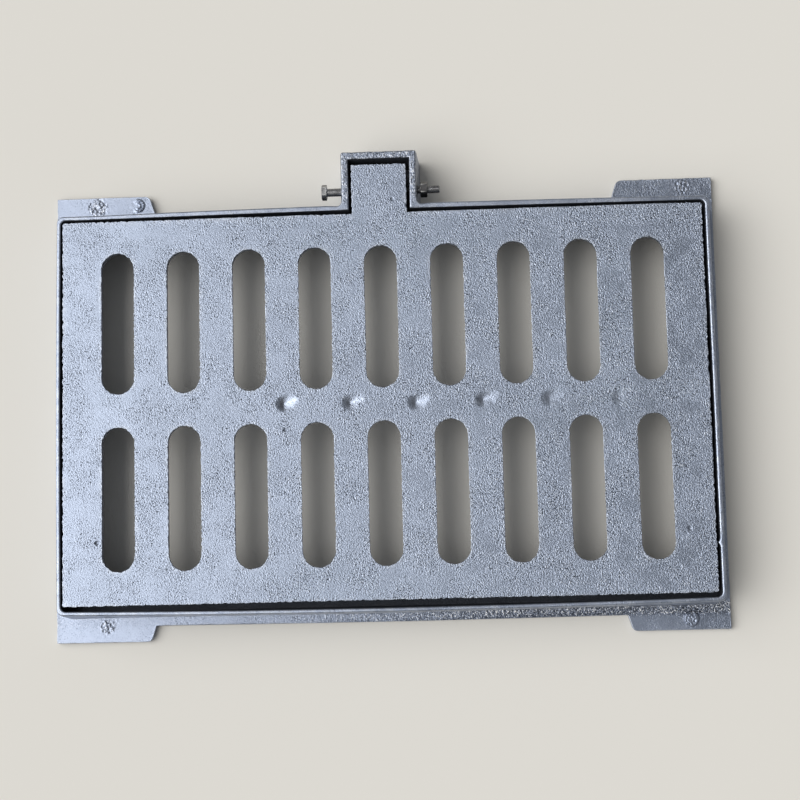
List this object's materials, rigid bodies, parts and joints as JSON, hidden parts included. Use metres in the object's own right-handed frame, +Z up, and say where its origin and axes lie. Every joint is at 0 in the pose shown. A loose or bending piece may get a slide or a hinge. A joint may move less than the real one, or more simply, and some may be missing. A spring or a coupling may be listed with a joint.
{
  "type": "drain grate",
  "caption": "Rectangular slotted cast-iron drain grate hinged on a bolt in a shallow frame with corner lugs and a hinge box; it lets road water into a gully.",
  "frame": {"origin": "on the ground, in the middle of the frame's footprint", "axes": "+X along the long side, +Y towards the hinge side, +Z up"},
  "size_m": [0.5286, 0.3806, 0.044],
  "materials": {
    "frame_iron": "blue-black bitumen coat over an as-cast skin, satin gloss",
    "grate_iron": "blue-black bitumen coat over a grainy as-cast skin, satin gloss",
    "bolt_steel": "dull bare steel",
    "nut_steel": "dark oily steel"
  },
  "bodies": {
    "frame": {"frame": "frame_iron", "hinge_bolt": "bolt_steel", "hinge_nut": "nut_steel"},
    "grate": {"grate": "grate_iron"}
  },
  "joints": [
    {"name": "grate_hinge", "type": "hinge", "parent": "frame", "child": "grate", "pos_m": [0, 0.15888, 0.034], "axis": [-1, 0, 0], "range_deg": [0, 120]}
  ]
}
